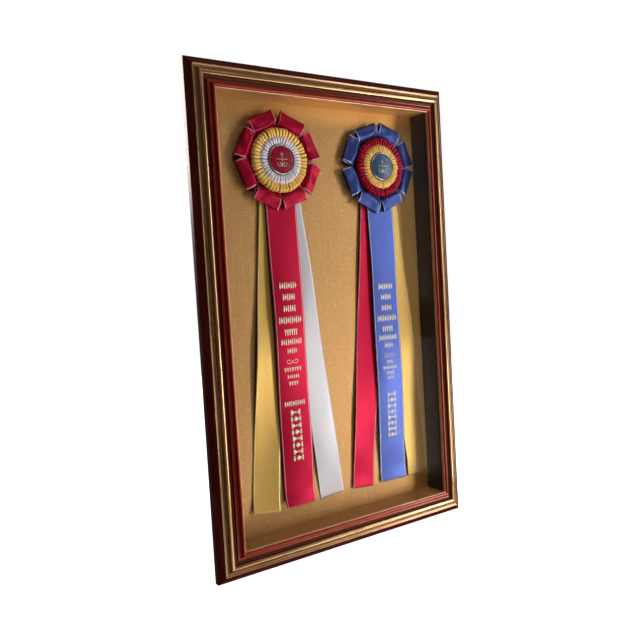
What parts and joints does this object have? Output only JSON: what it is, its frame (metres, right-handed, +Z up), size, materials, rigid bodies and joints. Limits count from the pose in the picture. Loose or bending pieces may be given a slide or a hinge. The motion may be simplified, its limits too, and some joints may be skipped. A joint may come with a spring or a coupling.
{
  "type": "framed award rosette display",
  "caption": "Glazed shadow-box frame with a fabric-covered board showing award rosettes with satin streamers; turn-button back and D-ring hangers.",
  "frame": {"origin": "centre of the flat underside of the bottom rail, where the frame rests", "axes": "+X to the right seen from the front, +Y from the front towards the wall, +Z up"},
  "size_m": [0.508, 0.0658, 0.79],
  "materials": {
    "moulding": "mahogany lacquer, rubbed bronze leaf and red bole beads, satin",
    "glass": "clear picture glass",
    "liner": "dark stained, satin",
    "board": "white foam board",
    "silk": "old-gold dupion with faint slubs",
    "hardboard": "brown hardboard",
    "brass": "brass plated",
    "steel": "zinc plated",
    "bumper": "soft rubber",
    "card": "stiff white card",
    "satin_red": "red satin ribbon",
    "satin_blue": "blue satin ribbon",
    "satin_gold": "gold satin ribbon",
    "satin_white": "white satin ribbon",
    "button_metal": "pressed bright shell",
    "insert_red": "gloss crimson",
    "insert_blue": "gloss blue"
  },
  "bodies": {
    "display_case": {"top_rail": "moulding", "bottom_rail": "moulding", "left_rail": "moulding", "right_rail": "moulding", "glass_pane": "glass", "spacer_top": "silk", "spacer_bottom": "silk", "spacer_left": "liner", "spacer_right": "liner", "display_board": "board", "fabric_cover": "silk", "back_panel": "hardboard", "turn_button_screws": "steel", "hanger_screws": "steel", "corner_v_nails": "steel", "hanger_strap_left": "brass", "wall_bumper_left": "bumper", "hanger_strap_right": "brass", "wall_bumper_right": "bumper", "red_backing_card": "card", "red_left_streamer": "satin_gold", "red_right_streamer": "satin_white", "red_centre_streamer": "satin_red", "red_petals": "satin_red", "red_outer_pleats": "satin_gold", "red_inner_pleats": "satin_white", "red_button_shell": "button_metal", "red_button_insert": "insert_red", "red_staple": "steel", "red_mounting_pins": "steel", "blue_backing_card": "card", "blue_left_streamer": "satin_red", "blue_right_streamer": "satin_gold", "blue_centre_streamer": "satin_blue", "blue_petals": "satin_blue", "blue_outer_pleats": "satin_red", "blue_inner_pleats": "satin_gold", "blue_button_shell": "button_metal", "blue_button_insert": "insert_blue", "blue_staple": "steel", "blue_mounting_pins": "steel"},
    "button_left_upper": {"turn_button_left_upper": "brass"},
    "button_left_lower": {"turn_button_left_lower": "brass"},
    "button_right_upper": {"turn_button_right_upper": "brass"},
    "button_right_lower": {"turn_button_right_lower": "brass"},
    "button_top": {"turn_button_top": "brass"},
    "button_bottom": {"turn_button_bottom": "brass"},
    "ring_left": {"d_ring_left": "steel"},
    "ring_right": {"d_ring_right": "steel"}
  },
  "joints": [
    {"name": "button_left_upper_turn", "type": "hinge", "parent": "display_case", "child": "button_left_upper", "pos_m": [-0.2245, 0.0394, 0.64], "axis": [0, 1, 0], "continuous": true},
    {"name": "button_left_lower_turn", "type": "hinge", "parent": "display_case", "child": "button_left_lower", "pos_m": [-0.2245, 0.0394, 0.18], "axis": [0, 1, 0], "continuous": true},
    {"name": "button_right_upper_turn", "type": "hinge", "parent": "display_case", "child": "button_right_upper", "pos_m": [0.2245, 0.0394, 0.64], "axis": [0, 1, 0], "continuous": true},
    {"name": "button_right_lower_turn", "type": "hinge", "parent": "display_case", "child": "button_right_lower", "pos_m": [0.2245, 0.0394, 0.18], "axis": [0, 1, 0], "continuous": true},
    {"name": "button_top_turn", "type": "hinge", "parent": "display_case", "child": "button_top", "pos_m": [0, 0.0394, 0.7605], "axis": [0, 1, 0], "continuous": true},
    {"name": "button_bottom_turn", "type": "hinge", "parent": "display_case", "child": "button_bottom", "pos_m": [0, 0.0394, 0.0295], "axis": [0, 1, 0], "continuous": true},
    {"name": "ring_left_swing", "type": "hinge", "parent": "display_case", "child": "ring_left", "pos_m": [-0.21, 0.04125, 0.553], "axis": [0, 0, 1], "range_deg": [0, 165]},
    {"name": "ring_right_swing", "type": "hinge", "parent": "display_case", "child": "ring_right", "pos_m": [0.21, 0.04125, 0.553], "axis": [0, 0, -1], "range_deg": [0, 165]}
  ]
}
